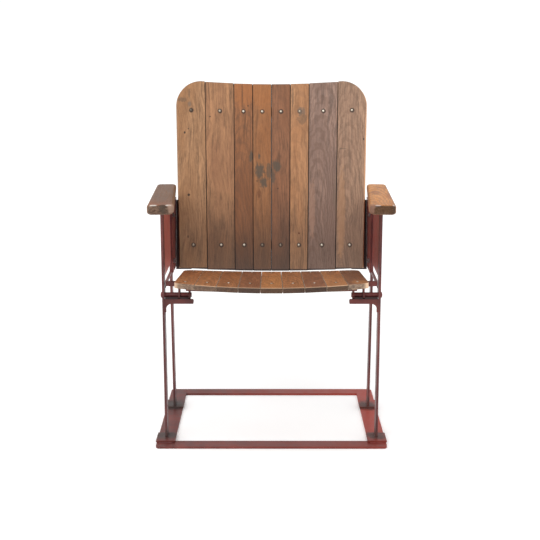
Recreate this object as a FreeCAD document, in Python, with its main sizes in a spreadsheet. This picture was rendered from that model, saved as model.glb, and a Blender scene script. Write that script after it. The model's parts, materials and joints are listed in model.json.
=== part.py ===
# A tip-up slatted cinema armchair on a welded flat-iron base.
# Millimetres. +X is the sitter's left as seen from the front (right in a front view), +Y is
# towards the back, +Z is up. The origin is on the floor under the middle of the chair.
import math
import os
from types import SimpleNamespace

import FreeCAD
import Part
import Sketcher

doc = FreeCAD.newDocument("cinema_armchair")
sheet = doc.addObject("Spreadsheet::Sheet", "size")

# Driving sizes. A setback is measured backwards from the front edge of the base.
driving_sizes = [
    # base frame on the floor
    ("base_side_margin", 20),
    ("base_depth", 417),
    ("runner_width", 46),
    ("crossbar_width", 38),
    ("base_bar_thickness", 6),
    ("base_corner_radius", 10),
    ("foot_plate_width", 50),
    ("foot_plate_length", 54),
    ("foot_plate_thickness", 5),
    ("foot_plate_margin", 1.5),
    # side frames
    ("leg_thickness", 6),
    ("leg_depth", 30),
    ("front_leg_setback", 48.5),
    ("rear_foot_setback", 264),
    ("rear_leg_setback", 238),
    ("leg_bend_height", 405),
    ("panel_thickness", 2),
    ("panel_bottom_height", 433),
    ("panel_corner_radius", 24),
    ("side_rail_top", 412),
    ("side_rail_depth", 8),
    # arms
    ("arm_height", 642),
    ("arm_thickness", 24),
    ("arm_length", 353),
    ("arm_front_width", 66),
    ("arm_rear_width", 52),
    ("arm_back_gap", 33.22),
    ("arm_inset", 7),
    ("arm_splay", 3.6),
    ("arm_corner_radius", 14),
    ("arm_edge_radius", 3),
    ("arm_support_width", 24),
    ("arm_support_thickness", 6),
    ("arm_screw_spacing", 96),
    ("arm_screw_edge", 5.5),
    # seat pivot and its stop
    ("pivot_height", 391),
    ("pin_diameter", 13),
    ("pin_head_diameter", 16),
    ("pin_head_height", 5),
    ("pin_length", 74),
    ("running_clearance", 0.05),
    ("stop_length", 73),
    ("eye_stop_gap", 1.367),
    ("stop_bar_height", 12),
    ("stop_thickness", 5),
    ("stop_flange_depth", 16),
    ("stop_gusset_drop", 22),
    ("stop_gusset_width", 4),
    ("stop_gusset_radius", 14),
    ("stop_gap", 0.3),
    ("ear_thickness", 5),
    ("ear_radius", 12),
    ("ear_neck_width", 18),
    ("ear_toe_height", 6),
    ("outer_ear_inset", 37),
    ("inner_ear_inset", 63),
    # seat
    ("seat_width", 471),
    ("seat_side_gap", 35.5),
    ("seat_depth", 353),
    ("seat_overhang", 195),
    ("seat_bulge", 60),
    ("seat_corner_radius", 28),
    ("seat_pitch", 7.3),
    ("seat_sag", 5),
    ("seat_slat_thickness", 13),
    ("seat_slat_gap", 1),
    ("seat_front_row", 91),
    ("seat_rear_row", 20),
    ("seat_strap_width", 25),
    ("seat_strap_thickness", 4),
    ("seat_front_bar_thickness", 8),
    ("hinge_rail_height", 12),
    ("hinge_rail_depth", 20),
    ("hinge_rail_side_gap", 3),
    ("rail_pin_gap", 10.4),
    # back
    ("back_side_gap", 14.5),
    ("back_flare", 23),
    ("back_length", 525),
    ("back_sag", 35),
    ("back_end_bow", 9),
    ("back_lean", 12.5),
    ("back_bottom_height", 409),
    ("back_setback", 284),
    ("back_slat_thickness", 18),
    ("back_slat_gap", 0.8),
    ("back_corner_radius", 70),
    ("back_lower_row", 64),
    ("back_upper_inset", 86),
    ("back_strap_width", 25),
    ("back_strap_thickness", 4),
    ("back_strap_inset", 16),
    ("stile_width", 28),
    ("stile_thickness", 5),
    ("stile_inset", 23),
    ("bracket_thickness", 4),
    ("bracket_height", 190),
    ("bracket_top_gap", 17),
    ("bracket_lap", 28),
    ("bracket_rear_margin", 6),
    ("bracket_bolt_edge", 32),
    ("tab_thickness", 4),
    # fastenings
    ("rivet_diameter", 10),
    ("rivet_height", 2),
    ("seat_rivet_diameter", 8),
    ("seat_rivet_height", 1.2),
    ("bolt_diameter", 15),
    ("bolt_height", 6),
    ("seating_clearance", 0.1),
]

# Sizes that follow from the driving ones.
derived_sizes = [
    ("leg_foot", "=base_bar_thickness + foot_plate_thickness"),
    ("leg_top", "=arm_height - arm_thickness - arm_support_thickness"),
    ("leg_face", "=seat_width / 2 + seat_side_gap"),
    ("leg_spacing", "=2 * (leg_face + leg_thickness)"),
    ("base_width", "=leg_spacing + 2 * base_side_margin"),
    ("pivot_setback", "=front_leg_setback + leg_depth / 2"),
    ("panel_depth", "=rear_leg_setback - front_leg_setback - leg_depth"),
    ("arm_middle", "=leg_face - arm_inset"),
    ("arm_rear_setback", "=back_setback - arm_back_gap"
     " + (arm_height - arm_thickness - back_bottom_height) * tan(back_lean * 1 deg)"),
    ("arm_overhang", "=front_leg_setback + arm_length - arm_rear_setback"),
    ("outer_ear_place", "=leg_face - outer_ear_inset"),
    ("inner_ear_place", "=leg_face - inner_ear_inset"),
    ("stop_drop", "=sqrt(max(0; ear_radius ^ 2 - (leg_depth / 2 - stop_thickness) ^ 2)) + eye_stop_gap"),
    ("stop_top", "=pivot_height - stop_drop"),
    ("toe_drop", "=stop_drop - stop_gap"),
    ("toe_reach", "=leg_depth / 2"),
    ("seat_rise", "=pin_diameter / 2 + rail_pin_gap + hinge_rail_height + seat_slat_thickness"
     " + seating_clearance"),
    ("seat_slats", "=9"),
    ("seat_pitch_width", "=seat_width / seat_slats"),
    ("seat_radius", "=seat_width ^ 2 / (8 * seat_sag) + seat_sag / 2"),
    ("seat_strap_radius", "=seat_radius + seat_slat_thickness + seating_clearance"),
    ("back_bottom_width", "=2 * (leg_face - back_side_gap)"),
    ("back_top_width", "=back_bottom_width + back_flare"),
    ("back_upper_row", "=back_length - back_upper_inset"),
    ("bracket_bottom", "=leg_top - bracket_top_gap - bracket_height"),
    ("back_mean_width", "=(back_bottom_width + back_top_width) / 2"),
    ("back_radius", "=back_mean_width ^ 2 / (8 * back_sag) + back_sag / 2"),
    ("back_strap_radius", "=back_radius + back_slat_thickness + seating_clearance"),
    ("stile_radius", "=back_strap_radius + back_strap_thickness + seating_clearance"),
    ("stile_length", "=back_upper_row - back_lower_row + back_strap_width"),
    ("tab_radius", "=stile_radius + stile_thickness"),
    ("seat_front_setback", "=pivot_setback - seat_overhang * cos(seat_pitch * 1 deg)"
     " + (seat_rise - seat_slat_thickness) * sin(seat_pitch * 1 deg)"),
    ("back_rear_setback", "=back_setback + (back_sag + back_slat_thickness) * cos(back_lean * 1 deg)"
     " + (back_length - back_end_bow) * sin(back_lean * 1 deg)"),
    ("base_front", "=-(seat_front_setback + back_rear_setback) / 2"),
]

# Width of each back slat as a share of the back's width, from the left of a front view.
wide_share = 0.151
narrow_share = 0.099
back_slat_shares = [wide_share] * 2 + [narrow_share] * 4 + [wide_share] * 2

# Rings of a domed head: each one's diameter and height as shares of the head's own.
head_ring_shares = [(1, 0), (0.86, 0.55), (0.5, 1)]
head_sides = 12

for row, (name, amount) in enumerate(driving_sizes + derived_sizes, start=1):
    sheet.set(f"A{row}", name)
    sheet.set(f"B{row}", str(amount))
    sheet.setAlias(f"B{row}", name)
doc.recompute()
size = SimpleNamespace(**{name: float(sheet.get(name)) for name, _ in driving_sizes + derived_sizes})

axis_x = FreeCAD.Vector(1, 0, 0)
axis_y = FreeCAD.Vector(0, 1, 0)
axis_z = FreeCAD.Vector(0, 0, 1)
subparts = []


def place(x=0.0, y=0.0, z=0.0, axis=axis_z, angle=0.0):
    return FreeCAD.Placement(FreeCAD.Vector(x, y, z), FreeCAD.Rotation(axis, angle))


def behind(setback):
    """Y of a place that lies this far behind the front edge of the base."""
    return size.base_front + setback


def keep(piece, label, placement=None):
    """Name a finished piece, put it in its place and list it for writing."""
    piece.Label = label
    if placement is not None:
        piece.Placement = placement
    subparts.append(piece)
    return piece


def mirror(piece, label):
    """The left piece of a pair, as the mirror image of the right one."""
    other = doc.addObject("Part::Mirroring", label)
    other.Source = piece
    other.Normal = axis_x
    return keep(other, label)


def bind(piece, **expressions):
    for name, expression in expressions.items():
        piece.setExpression(name, expression)
    return piece


def value_of(expression):
    return float(sheet.evalExpression(expression))


def make_box(name, length, width, height):
    return bind(doc.addObject("Part::Box", name), Length=length, Width=width, Height=height)


def add_sketch(body, name, plane, offset=None):
    """An empty sketch on one of the body's own origin planes, raised by an offset if given."""
    sketch = body.newObject("Sketcher::SketchObject", name)
    support = [feature for feature in body.Origin.OriginFeatures if feature.Role == plane][0]
    sketch.AttachmentSupport = [(support, "")]
    sketch.MapMode = "FlatFace"
    if offset:
        sketch.setExpression("AttachmentOffset.Base.z", offset)
    return sketch


def add_outline(sketch, corners):
    """A closed outline through corners given as pairs of expressions."""
    points = []
    for across, along in corners:
        points.append(FreeCAD.Vector(value_of(across), value_of(along), 0))
    count = len(points)
    for index in range(count):
        sketch.addGeometry(Part.LineSegment(points[index], points[(index + 1) % count]))
    for index in range(count):
        sketch.addConstraint(Sketcher.Constraint("Coincident", index, 2, (index + 1) % count, 1))
    for index, (across, along) in enumerate(corners):
        start = points[index]
        for kind, expression, amount in (("DistanceX", across, start.x), ("DistanceY", along, start.y)):
            number = sketch.addConstraint(Sketcher.Constraint(kind, -1, 1, index, 1, amount))
            sketch.setExpression(f"Constraints[{number}]", expression)


def add_circle(sketch, across, along, radius):
    """A circle about a place given by expressions."""
    centre = FreeCAD.Vector(value_of(across), value_of(along), 0)
    sketch.addGeometry(Part.Circle(centre, axis_z, value_of(radius)))
    for kind, expression, amount in (("DistanceX", across, centre.x), ("DistanceY", along, centre.y)):
        number = sketch.addConstraint(Sketcher.Constraint(kind, -1, 1, 0, 3, amount))
        sketch.setExpression(f"Constraints[{number}]", expression)
    number = sketch.addConstraint(Sketcher.Constraint("Radius", 0, value_of(radius)))
    sketch.setExpression(f"Constraints[{number}]", radius)


def add_pad(body, sketch, name, thickness, downwards=False):
    pad = body.newObject("PartDesign::Pad", name)
    pad.Profile = sketch
    pad.Reversed = downwards
    pad.setExpression("Length", thickness)
    doc.recompute()
    return pad


def make_plate(name, plane, corners, thickness, downwards=False):
    """A plate of even thickness with a straight-sided outline."""
    body = doc.addObject("PartDesign::Body", name)
    sketch = add_sketch(body, name + "_outline", plane)
    add_outline(sketch, corners)
    add_pad(body, sketch, name + "_plate", thickness, downwards)
    return body


def bore(body, name, plane, across, along, radius):
    """Cut a round hole through the body and make sure that it takes material away."""
    before = body.Shape.Volume
    sketch = add_sketch(body, name + "_outline", plane)
    add_circle(sketch, across, along, radius)
    pocket = body.newObject("PartDesign::Pocket", name)
    pocket.Profile = sketch
    pocket.Type = "ThroughAll"
    pocket.Midplane = True
    doc.recompute()
    if body.Shape.Volume >= before:
        raise RuntimeError(name + " cuts nothing")


def round_edges(body, name, radius, chosen):
    """Round the edges of the body's last feature that the test picks."""
    base = body.Tip
    names = [f"Edge{index}" for index, edge in enumerate(base.Shape.Edges, start=1) if chosen(edge)]
    if not names:
        raise RuntimeError(name + " finds no edge")
    fillet = body.newObject("PartDesign::Fillet", name)
    fillet.Base = (base, names)
    fillet.setExpression("Radius", radius)
    doc.recompute()


def runs_along(edge, axis):
    """True for a straight edge along an axis."""
    if not isinstance(edge.Curve, Part.Line):
        return False
    return abs(abs(edge.Curve.Direction.dot(axis)) - 1) < 1e-6


def make_cap(name, diameter, height):
    """A low domed head that stands on its base plane, turned up from rings of short facets."""
    rings = []
    for width_share, height_share in head_ring_shares:
        ring = doc.addObject("Part::RegularPolygon", f"{name}_ring")
        ring.Polygon = head_sides
        bind(ring, Circumradius=f"{width_share} * {diameter} / 2")
        ring.setExpression("Placement.Base.z", f"{height_share} * {height}")
        rings.append(ring)
    cap = doc.addObject("Part::Loft", name)
    cap.Sections = rings
    cap.Solid = True
    cap.Ruled = True
    doc.recompute()
    return cap


def make_strap(name, radius, thickness, width, half_span):
    """A flat bar bent to a large radius about the Z axis, its middle towards +Y."""
    angle = f"2 * {half_span} / ({radius}) * 180 / pi"
    outer = bind(doc.addObject("Part::Cylinder", name + "_outside"),
                 Radius=f"{radius} + {thickness}", Height=width, Angle=angle)
    inner = bind(doc.addObject("Part::Cylinder", name + "_inside"), Radius=radius, Height=width, Angle=angle)
    strap = doc.addObject("Part::Cut", name)
    strap.Base = outer
    strap.Tool = inner
    doc.recompute()
    return strap, outer.Angle.Value


def make_group(label, shape, placements):
    """Identical small pieces that share one name."""
    group = doc.addObject("Part::Feature", label)
    group.Shape = Part.makeCompound([shape.transformed(spot.toMatrix(), True) for spot in placements])
    return keep(group, label)


# Base frame: two runners on the floor with crossbars welded between them.
def build_base():
    runner = make_plate("base_runner_right", "XY_Plane",
                        [("0", "0"), ("size.runner_width", "0"),
                         ("size.runner_width", "size.base_depth"), ("0", "size.base_depth")],
                        "size.base_bar_thickness")
    outer_side = size.runner_width / 2
    round_edges(runner, "runner_corners", "size.base_corner_radius",
                lambda edge: runs_along(edge, axis_z) and edge.CenterOfMass.x > outer_side)
    inner_edge = size.base_width / 2 - size.runner_width
    keep(runner, "base_runner_right", place(inner_edge, behind(0)))
    mirror(runner, "base_runner_left")
    rear = size.base_depth - size.crossbar_width
    for label, setback in (("base_crossbar_front", 0), ("base_crossbar_rear", rear)):
        bar = make_box(label, "size.base_width - 2 * size.runner_width",
                       "size.crossbar_width", "size.base_bar_thickness")
        keep(bar, label, place(-inner_edge, behind(setback)))
    plate_side = size.leg_face + size.leg_thickness / 2 - size.foot_plate_width / 2
    front = size.front_leg_setback + size.leg_depth + size.foot_plate_margin - size.foot_plate_length
    for end, setback in (("front", front), ("rear", size.rear_foot_setback - size.foot_plate_margin)):
        plate = make_box("foot_plate_" + end, "size.foot_plate_width",
                         "size.foot_plate_length", "size.foot_plate_thickness")
        keep(plate, f"foot_plate_{end}_right", place(plate_side, behind(setback), size.base_bar_thickness))
        mirror(plate, f"foot_plate_{end}_left")


# Side frames: a front leg and a cranked rear leg of flat iron, a sheet panel and a low rail.
def build_side_frames():
    front = make_plate("front_leg", "YZ_Plane",
                       [("0", "size.leg_foot"), ("size.leg_depth", "size.leg_foot"),
                        ("size.leg_depth", "size.leg_top"), ("0", "size.leg_top")], "size.leg_thickness")
    bore(front, "pivot_hole", "YZ_Plane", "size.leg_depth / 2", "size.pivot_height",
         "size.pin_diameter / 2 + size.running_clearance")
    keep(front, "front_leg_right", place(size.leg_face, behind(size.front_leg_setback)))
    mirror(front, "front_leg_left")
    rake = "size.rear_foot_setback - size.rear_leg_setback"
    rear = make_plate("rear_leg", "YZ_Plane",
                      [(rake, "size.leg_foot"), (rake + " + size.leg_depth", "size.leg_foot"),
                       ("size.leg_depth", "size.leg_bend_height"), ("size.leg_depth", "size.leg_top"),
                       ("0", "size.leg_top"), ("0", "size.leg_bend_height")], "size.leg_thickness")
    keep(rear, "rear_leg_right", place(size.leg_face, behind(size.rear_leg_setback)))
    mirror(rear, "rear_leg_left")
    middle = size.leg_face + size.leg_thickness / 2
    panel = make_plate("side_panel", "YZ_Plane",
                       [("0", "size.panel_bottom_height"), ("size.panel_depth", "size.panel_bottom_height"),
                        ("size.panel_depth", "size.leg_top"), ("0", "size.leg_top")], "size.panel_thickness")
    half_depth = size.panel_depth / 2
    half_height = (size.panel_bottom_height + size.leg_top) / 2
    round_edges(panel, "panel_corner", "size.panel_corner_radius",
                lambda edge: runs_along(edge, axis_x) and edge.CenterOfMass.y > half_depth
                and edge.CenterOfMass.z < half_height)
    panel_start = behind(size.front_leg_setback + size.leg_depth)
    keep(panel, "side_panel_right", place(middle - size.panel_thickness / 2, panel_start))
    mirror(panel, "side_panel_left")
    rail = make_box("side_rail", "size.leg_thickness", "size.panel_depth", "size.side_rail_depth")
    rail_bottom = size.side_rail_top - size.side_rail_depth
    keep(rail, "side_rail_right", place(size.leg_face, panel_start, rail_bottom))
    mirror(rail, "side_rail_left")


# Arms: a tapered board on a flat strip that joins the tops of the legs.
def build_arms():
    strip = make_box("arm_support", "size.arm_support_width",
                     "size.rear_leg_setback + size.leg_depth - size.front_leg_setback",
                     "size.arm_support_thickness")
    strip_side = size.leg_face + size.leg_thickness - size.arm_support_width
    keep(strip, "arm_support_right", place(strip_side, behind(size.front_leg_setback), size.leg_top))
    mirror(strip, "arm_support_left")
    taper = "(size.arm_front_width - size.arm_rear_width) / 2"
    arm = make_plate("armrest", "XY_Plane",
                     [("0", "0"), ("size.arm_front_width", "0"),
                      (f"size.arm_front_width - {taper}", "size.arm_length"), (taper, "size.arm_length")],
                     "size.arm_thickness")
    round_edges(arm, "arm_corners", "size.arm_corner_radius", lambda edge: runs_along(edge, axis_z))
    top = size.arm_thickness
    round_edges(arm, "arm_top_edge", "size.arm_edge_radius",
                lambda edge: edge.BoundBox.ZMin > top - size.running_clearance)
    turned = place(size.arm_middle, behind(size.front_leg_setback - size.arm_overhang),
                   size.arm_height - size.arm_thickness, axis_z, -size.arm_splay)
    keep(arm, "armrest_right", turned.multiply(place(-size.arm_front_width / 2)))
    mirror(arm, "armrest_left")
    screw = make_cap("arm_screw", "size.rivet_diameter", "size.rivet_height")
    centre = behind((size.front_leg_setback + size.rear_leg_setback + size.leg_depth) / 2)
    screw_side = strip_side + size.arm_screw_edge
    spots = []
    for side in (-1, 1):
        for step in (-0.5, 0.5):
            spots.append(place(side * screw_side, centre + step * size.arm_screw_spacing,
                               size.leg_top, axis_x, 180))
    make_group("arm_screws", screw.Shape, spots)


# Pivot pins through the front legs, and the angle brackets that the seat comes down on.
def build_pivots():
    shaft = bind(doc.addObject("Part::Cylinder", "pin_shaft"),
                 Radius="size.pin_diameter / 2", Height="size.pin_length")
    head = make_cap("pin_head", "size.pin_head_diameter", "size.pin_head_height")
    head.Placement = place(0, 0, size.pin_length)
    pin = doc.addObject("Part::Fuse", "pivot_pin")
    pin.Base = shaft
    pin.Tool = head
    outer_face = size.leg_spacing / 2
    keep(pin, "pivot_pin_right",
         place(outer_face - size.pin_length, behind(size.pivot_setback), size.pivot_height, axis_y, 90))
    mirror(pin, "pivot_pin_left")
    wall = "size.stop_length - size.stop_gusset_width"
    top = "size.stop_gusset_drop + size.stop_bar_height"
    stop = make_plate("seat_stop", "XZ_Plane",
                      [("0", "size.stop_gusset_drop"), (wall, "size.stop_gusset_drop"), (wall, "0"),
                       ("size.stop_length", "0"), ("size.stop_length", top), ("0", top)],
                      "size.stop_thickness")
    inner_wall = size.stop_length - size.stop_gusset_width
    drop = size.stop_gusset_drop
    round_edges(stop, "stop_gusset", "size.stop_gusset_radius",
                lambda edge: runs_along(edge, axis_y)
                and math.hypot(edge.CenterOfMass.x - inner_wall, edge.CenterOfMass.z - drop) < size.stop_gap)
    sketch = add_sketch(stop, "stop_flange_outline", "XY_Plane", "size.stop_gusset_drop")
    add_outline(sketch, [("0", "0"), ("size.stop_length", "0"),
                         ("size.stop_length", "size.stop_flange_depth"), ("0", "size.stop_flange_depth")])
    add_pad(stop, sketch, "stop_flange", "size.stop_thickness")
    bottom = size.stop_top - size.stop_bar_height - size.stop_gusset_drop
    keep(stop, "seat_stop_right", place(size.leg_face - size.stop_length,
                                        behind(size.front_leg_setback + size.stop_thickness), bottom))
    mirror(stop, "seat_stop_left")


# The seat turns about its pivot: this frame lies on the pivot axis, along the seat's slope.
def seat_frame():
    return place(0, behind(size.pivot_setback), size.pivot_height, axis_x, -size.seat_pitch)


def seat_slat_place(offset):
    """Where the middle of a slat lies on the dished seat, for its distance from the middle."""
    turn = math.degrees(offset / size.seat_radius)
    hub = place(0, -size.seat_overhang, size.seat_rise + size.seat_radius)
    swing = place(0, 0, 0, axis_y, -turn)
    chord = size.seat_radius * math.cos(size.seat_pitch_width / 2 / size.seat_radius)
    return seat_frame().multiply(hub).multiply(swing).multiply(place(0, 0, -chord))


def build_seat():
    count = round(size.seat_slats)
    width = "(size.seat_pitch_width - size.seat_slat_gap)"
    rivets = []
    cap = make_cap("seat_rivet", "size.seat_rivet_diameter", "size.seat_rivet_height")
    for index in range(count):
        step = index - (count - 1) / 2
        offset = step * size.seat_pitch_width
        fronts = []
        for edge in (-0.5, 0.5):
            fronts.append(f"size.seat_bulge * ({2 * (step + edge)} / size.seat_slats) ^ 2")
        label = f"seat_slat_{index + 1}"
        slat = make_plate(label, "XY_Plane",
                          [(f"-{width} / 2", fronts[0]), (f"{width} / 2", fronts[1]),
                           (f"{width} / 2", "size.seat_depth"), (f"-{width} / 2", "size.seat_depth")],
                          "size.seat_slat_thickness", downwards=True)
        if index in (0, count - 1):
            outward = 1 if index else -1
            round_edges(slat, label + "_corners", "size.seat_corner_radius",
                        lambda edge: runs_along(edge, axis_z) and edge.CenterOfMass.x * outward > 0)
        spot = seat_slat_place(offset)
        keep(slat, label, spot)
        for row in (size.seat_front_row, size.seat_depth - size.seat_rear_row):
            rivets.append(spot.multiply(place(0, row)))
    make_group("seat_rivets", cap.Shape, rivets)
    straps = (
        ("seat_strap_front", size.seat_front_row - size.seat_overhang, "size.seat_front_bar_thickness",
         "size.seat_strap_width", "(size.seat_width / 2 - size.seat_corner_radius)"),
        ("seat_strap_rear", size.seat_depth - size.seat_rear_row - size.seat_overhang,
         "size.seat_strap_thickness", "size.seat_strap_width",
         "(size.seat_width / 2 - size.seat_corner_radius)"),
        ("hinge_rail", 0, "size.hinge_rail_height", "size.hinge_rail_depth",
         "(size.leg_face - size.hinge_rail_side_gap)"),
    )
    for label, station, thickness, depth, half_span in straps:
        strap, angle = make_strap(label, "size.seat_strap_radius", thickness, depth, half_span)
        half_depth = strap.Base.Height.Value / 2
        hub = place(0, station - half_depth, size.seat_rise + size.seat_radius, axis_x, -90)
        keep(strap, label, seat_frame().multiply(hub).multiply(place(0, 0, 0, axis_z, 90 - angle / 2)))


# Ears: eyes on the pivot pins under the hinge rail, each with a toe over the stop.
def build_ears():
    for end in ("outer", "inner"):
        spot = f"size.{end}_ear_place - size.ear_thickness / 2"
        rise = f"({spot}) ^ 2 / (2 * (size.seat_strap_radius + size.hinge_rail_height))"
        rail = ("(size.seat_rise - size.seat_slat_thickness - size.hinge_rail_height"
                f" - 2 * size.seating_clearance + {rise})")
        lean = "tan(size.seat_pitch * 1 deg)"
        top = f"{rail} / cos(size.seat_pitch * 1 deg)"
        neck = "size.ear_neck_width / 2"
        ear = make_plate(f"hinge_ear_{end}", "YZ_Plane",
                         [("-size.toe_reach", "-size.toe_drop"), ("0", "-size.toe_drop"), (neck, "0"),
                          (neck, f"{top} - {neck} * {lean}"), (f"-{neck}", f"{top} + {neck} * {lean}"),
                          (f"-{neck}", "size.ear_toe_height - size.toe_drop"),
                          ("-size.toe_reach", "size.ear_toe_height - size.toe_drop")], "size.ear_thickness")
        sketch = add_sketch(ear, f"ear_{end}_eye_outline", "YZ_Plane")
        add_circle(sketch, "0", "0", "size.ear_radius")
        add_pad(ear, sketch, f"ear_{end}_eye", "size.ear_thickness")
        bore(ear, f"ear_{end}_hole", "YZ_Plane", "0", "0", "size.pin_diameter / 2 + size.running_clearance")
        keep(ear, f"hinge_ear_{end}_right",
             place(value_of(spot), behind(size.pivot_setback), size.pivot_height))
        mirror(ear, f"hinge_ear_{end}_left")


# The back leans in its own frame: X across, Y towards the rear, Z up the slope, with the front
# edges of its two side faces at Y 0 and its bottom at Z 0.
def back_frame():
    return place(0, behind(size.back_setback), size.back_bottom_height, axis_x, -size.back_lean)


def back_place(offset, radius, height=0.0):
    """A place on the curved back at an offset along the curve, a radius and a height."""
    turn = math.degrees(offset / size.back_radius)
    hub = place(0, size.back_sag - size.back_radius, height)
    swing = place(0, 0, 0, axis_z, -turn)
    return back_frame().multiply(hub).multiply(swing).multiply(place(0, radius))


def build_back():
    rivets = []
    cap = make_cap("back_rivet", "size.rivet_diameter", "size.rivet_height")
    flare = (size.back_top_width - size.back_bottom_width) / size.back_length
    passed_share = 0
    for index, share in enumerate(back_slat_shares):
        middle_share = passed_share + share / 2 - 0.5
        drops = []
        for edge_share in (passed_share, passed_share + share):
            drops.append(f"size.back_end_bow * {round(4 * edge_share * (1 - edge_share), 6)}")
        passed_share += share
        low = f"({share} * size.back_bottom_width - size.back_slat_gap) / 2"
        high = f"({share} * size.back_top_width - size.back_slat_gap) / 2"
        label = f"back_slat_{index + 1}"
        slat = make_plate(label, "XZ_Plane",
                          [(f"-{low}", f"-{drops[0]}"), (low, f"-{drops[1]}"),
                           (high, f"size.back_length - {drops[1]}"),
                           (f"-{high}", f"size.back_length - {drops[0]}")], "size.back_slat_thickness")
        if index in (0, len(back_slat_shares) - 1):
            outward = 1 if index else -1
            half_length = size.back_length / 2
            wall = f"{share} * size.back_top_width - size.back_slat_gap - size.seating_clearance"
            round_edges(slat, label + "_corner", f"min(size.back_corner_radius; {wall})",
                        lambda edge: runs_along(edge, axis_y) and edge.CenterOfMass.x * outward > 0
                        and edge.CenterOfMass.z > half_length)
        half_angle = share * size.back_mean_width / 2 / size.back_radius
        rear_face = size.back_radius * math.cos(half_angle) + size.back_slat_thickness
        spread = math.degrees(math.atan(middle_share * flare))
        spot = back_place(middle_share * size.back_bottom_width, rear_face)
        spot = spot.multiply(place(0, 0, 0, axis_y, spread))
        keep(slat, label, spot)
        for row in (size.back_lower_row, size.back_upper_row):
            rivets.append(spot.multiply(place(0, -size.back_slat_thickness, row, axis_x, 90)))
    make_group("back_rivets", cap.Shape, rivets)
    for label, row in (("back_strap_lower", size.back_lower_row), ("back_strap_upper", size.back_upper_row)):
        half_span = "(size.back_bottom_width / 2 - size.back_strap_inset)"
        strap, angle = make_strap(label, "size.back_strap_radius", "size.back_strap_thickness",
                                  "size.back_strap_width", half_span)
        hub = place(0, size.back_sag - size.back_radius, row - size.back_strap_width / 2)
        keep(strap, label, back_frame().multiply(hub).multiply(place(0, 0, 0, axis_z, 90 - angle / 2)))


# Behind the back: two stiles, each held by a tab and a side bracket that is bolted to the rear leg.
def build_back_supports():
    offset = size.back_bottom_width / 2 - size.stile_inset
    bottom = size.back_lower_row - size.back_strap_width / 2
    stile = make_box("back_stile", "size.stile_width", "size.stile_thickness", "size.stile_length")
    corner = place(-size.stile_width / 2)
    keep(stile, "back_stile_right", back_place(offset, size.stile_radius, bottom).multiply(corner))
    mirror(stile, "back_stile_left")
    turn = offset / size.back_radius
    plate_face = size.leg_face - size.bracket_thickness
    far_corner = (size.tab_radius + size.tab_thickness) * math.sin(turn)
    reach = (plate_face - size.seating_clearance - far_corner) / math.cos(turn)
    tab = doc.addObject("Part::Box", "back_tab")
    bind(tab, Width="size.tab_thickness")
    tab.Length = reach + size.stile_width / 2
    lean = math.radians(size.back_lean)
    tab.Height = size.bracket_height / math.cos(lean)
    below = size.bracket_bottom - size.back_bottom_height
    keep(tab, "back_tab_right", back_place(offset, size.tab_radius, below / math.cos(lean)).multiply(corner))
    mirror(tab, "back_tab_left")
    rear = (size.back_sag - size.back_radius + (size.tab_radius + size.tab_thickness) * math.cos(turn)
            - reach * math.sin(turn) + size.bracket_rear_margin) / math.cos(lean)
    front_setback = size.rear_leg_setback + size.leg_depth - size.bracket_lap
    low = size.back_setback + rear + below * math.tan(lean) - front_setback
    high = low + size.bracket_height * math.tan(lean)
    bracket = make_plate("back_bracket", "YZ_Plane",
                         [("0", "0"), (str(low), "0"), (str(high), "size.bracket_height"),
                          ("0", "size.bracket_height")], "size.bracket_thickness")
    keep(bracket, "back_bracket_right", place(plate_face, behind(front_setback), size.bracket_bottom))
    mirror(bracket, "back_bracket_left")
    bolt = make_cap("bracket_bolt", "size.bolt_diameter", "size.bolt_height")
    spots = []
    middle = behind(front_setback + size.bracket_lap / 2)
    for side in (-1, 1):
        for height in (size.bracket_bolt_edge, size.bracket_height - size.bracket_bolt_edge):
            spots.append(place(side * plate_face, middle, size.bracket_bottom + height, axis_y, -90 * side))
    make_group("bracket_bolts", bolt.Shape, spots)


def write_parts():
    doc.recompute()
    for piece in doc.Objects:
        if "Invalid" in piece.State or "Error" in piece.State:
            raise RuntimeError(f"{piece.Label} failed: {piece.State}")
    for piece in subparts:
        if piece.Shape.isNull() or not piece.Shape.isValid() or not piece.Shape.Solids:
            raise RuntimeError(f"{piece.Label} has no valid solid")
    os.makedirs("parts", exist_ok=True)
    for piece in subparts:
        piece.Shape.exportStep(os.path.join("parts", piece.Label + ".step"))
    print(f"{len(subparts)} pieces written")


build_base()
build_side_frames()
build_arms()
build_pivots()
build_seat()
build_ears()
build_back()
build_back_supports()
write_parts()
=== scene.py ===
import json
import math
import random

import bmesh
import bpy
import numpy as np
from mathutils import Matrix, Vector


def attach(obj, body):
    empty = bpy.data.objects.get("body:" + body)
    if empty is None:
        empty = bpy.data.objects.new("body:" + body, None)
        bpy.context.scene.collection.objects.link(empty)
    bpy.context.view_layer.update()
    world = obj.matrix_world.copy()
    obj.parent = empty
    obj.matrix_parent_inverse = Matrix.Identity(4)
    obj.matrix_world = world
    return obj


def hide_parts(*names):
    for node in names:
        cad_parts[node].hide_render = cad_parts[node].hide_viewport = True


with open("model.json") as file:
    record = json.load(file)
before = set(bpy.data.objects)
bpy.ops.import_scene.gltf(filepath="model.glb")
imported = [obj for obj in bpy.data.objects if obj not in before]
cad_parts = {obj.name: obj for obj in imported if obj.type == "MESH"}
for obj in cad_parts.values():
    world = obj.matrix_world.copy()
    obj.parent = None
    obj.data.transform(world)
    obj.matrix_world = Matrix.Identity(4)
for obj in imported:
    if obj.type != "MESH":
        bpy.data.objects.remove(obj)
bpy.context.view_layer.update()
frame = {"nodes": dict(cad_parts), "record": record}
cadNodes = frame["nodes"]
print("frame loaded:", len(cadNodes), "nodes")


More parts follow.
